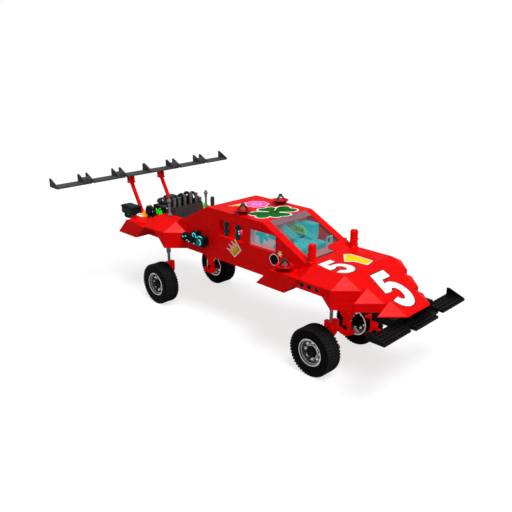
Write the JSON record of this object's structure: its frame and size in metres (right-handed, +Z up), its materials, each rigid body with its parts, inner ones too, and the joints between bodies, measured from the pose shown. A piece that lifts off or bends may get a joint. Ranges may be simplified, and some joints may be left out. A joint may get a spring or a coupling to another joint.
{
  "type": "toy race car",
  "caption": "Brick-built toy race car on tall struts with free-rolling wheels, a hollow glazed cabin, a stepped nose, an open engine and a tilting rear wing.",
  "frame": {"origin": "on the ground below the middle of the car's length and width", "axes": "+X forward, +Y to the car's left, +Z up"},
  "size_m": [0.361, 0.224, 0.1302],
  "materials": {
    "red": "gloss",
    "black": "gloss",
    "dark_grey": "gloss",
    "grey": "gloss",
    "teal": "gloss",
    "lamp_red": "clear",
    "glass": "clear",
    "chrome": "polished",
    "tyre": "matt"
  },
  "bodies": {
    "car": {"chassis_plate": "red", "right_wall": "red", "left_wall": "red", "roof": "red", "rear_slope": "red", "bulkhead": "red", "windscreen": "glass", "side_windows": "glass", "seat": "teal", "dashboard": "teal", "rear_deck": "red", "rear_fenders": "red", "front_fenders": "red", "tail_pods": "red", "sponsons": "red", "fender_beams": "red", "hood": "red", "nose": "red", "engine_block": "dark_grey", "engine_stacks": "dark_grey", "air_cleaner": "dark_grey", "cooling_fans": "dark_grey", "tail_boxes": "dark_grey", "tail_nozzles": "black", "turbine_pods": "black", "pod_lenses": "teal", "niche_spools": "black", "niche_lamps": "lamp_red", "hood_posts": "red", "dishes": "red", "tripods": "dark_grey", "damper_tops": "grey", "deck_tube": "dark_grey", "wing_posts": "red", "front_wing": "black", "struts": "grey", "knuckles": "red", "axle_pins": "black", "front_link": "red"},
    "rear_wing": {"rear_wing": "dark_grey", "wing_pins": "black"},
    "wheel_near_rear": {"rim_near_rear": "chrome", "tyre_near_rear": "tyre"},
    "wheel_far_rear": {"rim_far_rear": "chrome", "tyre_far_rear": "tyre"},
    "wheel_near_front": {"rim_near_front": "chrome", "tyre_near_front": "tyre"},
    "wheel_far_front": {"rim_far_front": "chrome", "tyre_far_front": "tyre"}
  },
  "joints": [
    {"name": "roll_near_rear", "type": "hinge", "parent": "car", "child": "wheel_near_rear", "pos_m": [-0.10348, -0.04, 0.0212], "axis": [0, 1, 0], "continuous": true},
    {"name": "roll_far_rear", "type": "hinge", "parent": "car", "child": "wheel_far_rear", "pos_m": [-0.10348, 0.04, 0.0212], "axis": [0, 1, 0], "continuous": true},
    {"name": "roll_near_front", "type": "hinge", "parent": "car", "child": "wheel_near_front", "pos_m": [0.10452, -0.04, 0.0212], "axis": [0, 1, 0], "continuous": true},
    {"name": "roll_far_front", "type": "hinge", "parent": "car", "child": "wheel_far_front", "pos_m": [0.09652, 0.0324, 0.0212], "axis": [0, 1, 0], "continuous": true},
    {"name": "tilt_rear_wing", "type": "hinge", "parent": "car", "child": "rear_wing", "pos_m": [-0.17628, 0, 0.1172], "axis": [0, 1, 0], "range_deg": [-20, 20]}
  ]
}
